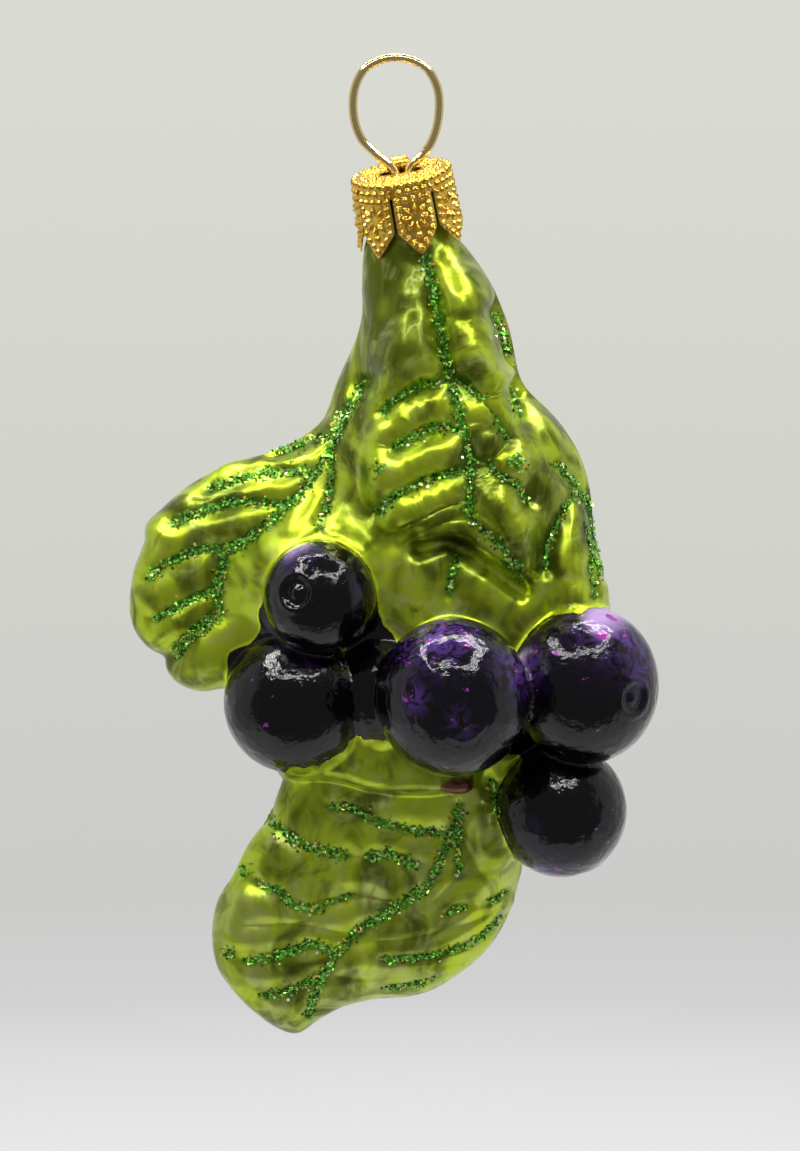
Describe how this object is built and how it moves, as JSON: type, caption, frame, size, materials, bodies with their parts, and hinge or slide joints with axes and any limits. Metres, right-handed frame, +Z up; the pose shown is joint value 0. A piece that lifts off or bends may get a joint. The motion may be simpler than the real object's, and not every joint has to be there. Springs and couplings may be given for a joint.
{
  "type": "blown glass blueberry sprig ornament",
  "caption": "Hollow blown-glass hanging ornament shaped as a sprig of dark berries with veined green leaves, with a petal-edged metal cap and a wire loop to hang it by.",
  "frame": {"origin": "inside top of the wire loop, where a hook bears", "axes": "+Z up as the ornament hangs, -Y out of its front, +X to the right of the front"},
  "size_m": [0.0577, 0.0374, 0.1087],
  "materials": {
    "painted_glass": "hollow clear glass, silvered inside, with green and purple lacquer and lines of glitter outside",
    "cap_metal": "thin stamped gold-coloured metal with embossed beads",
    "wire_metal": "polished pale gold wire"
  },
  "bodies": {
    "root": {"glass_sprig": "painted_glass", "gold_cap": "cap_metal", "hanger_wire": "wire_metal"}
  },
  "joints": []
}
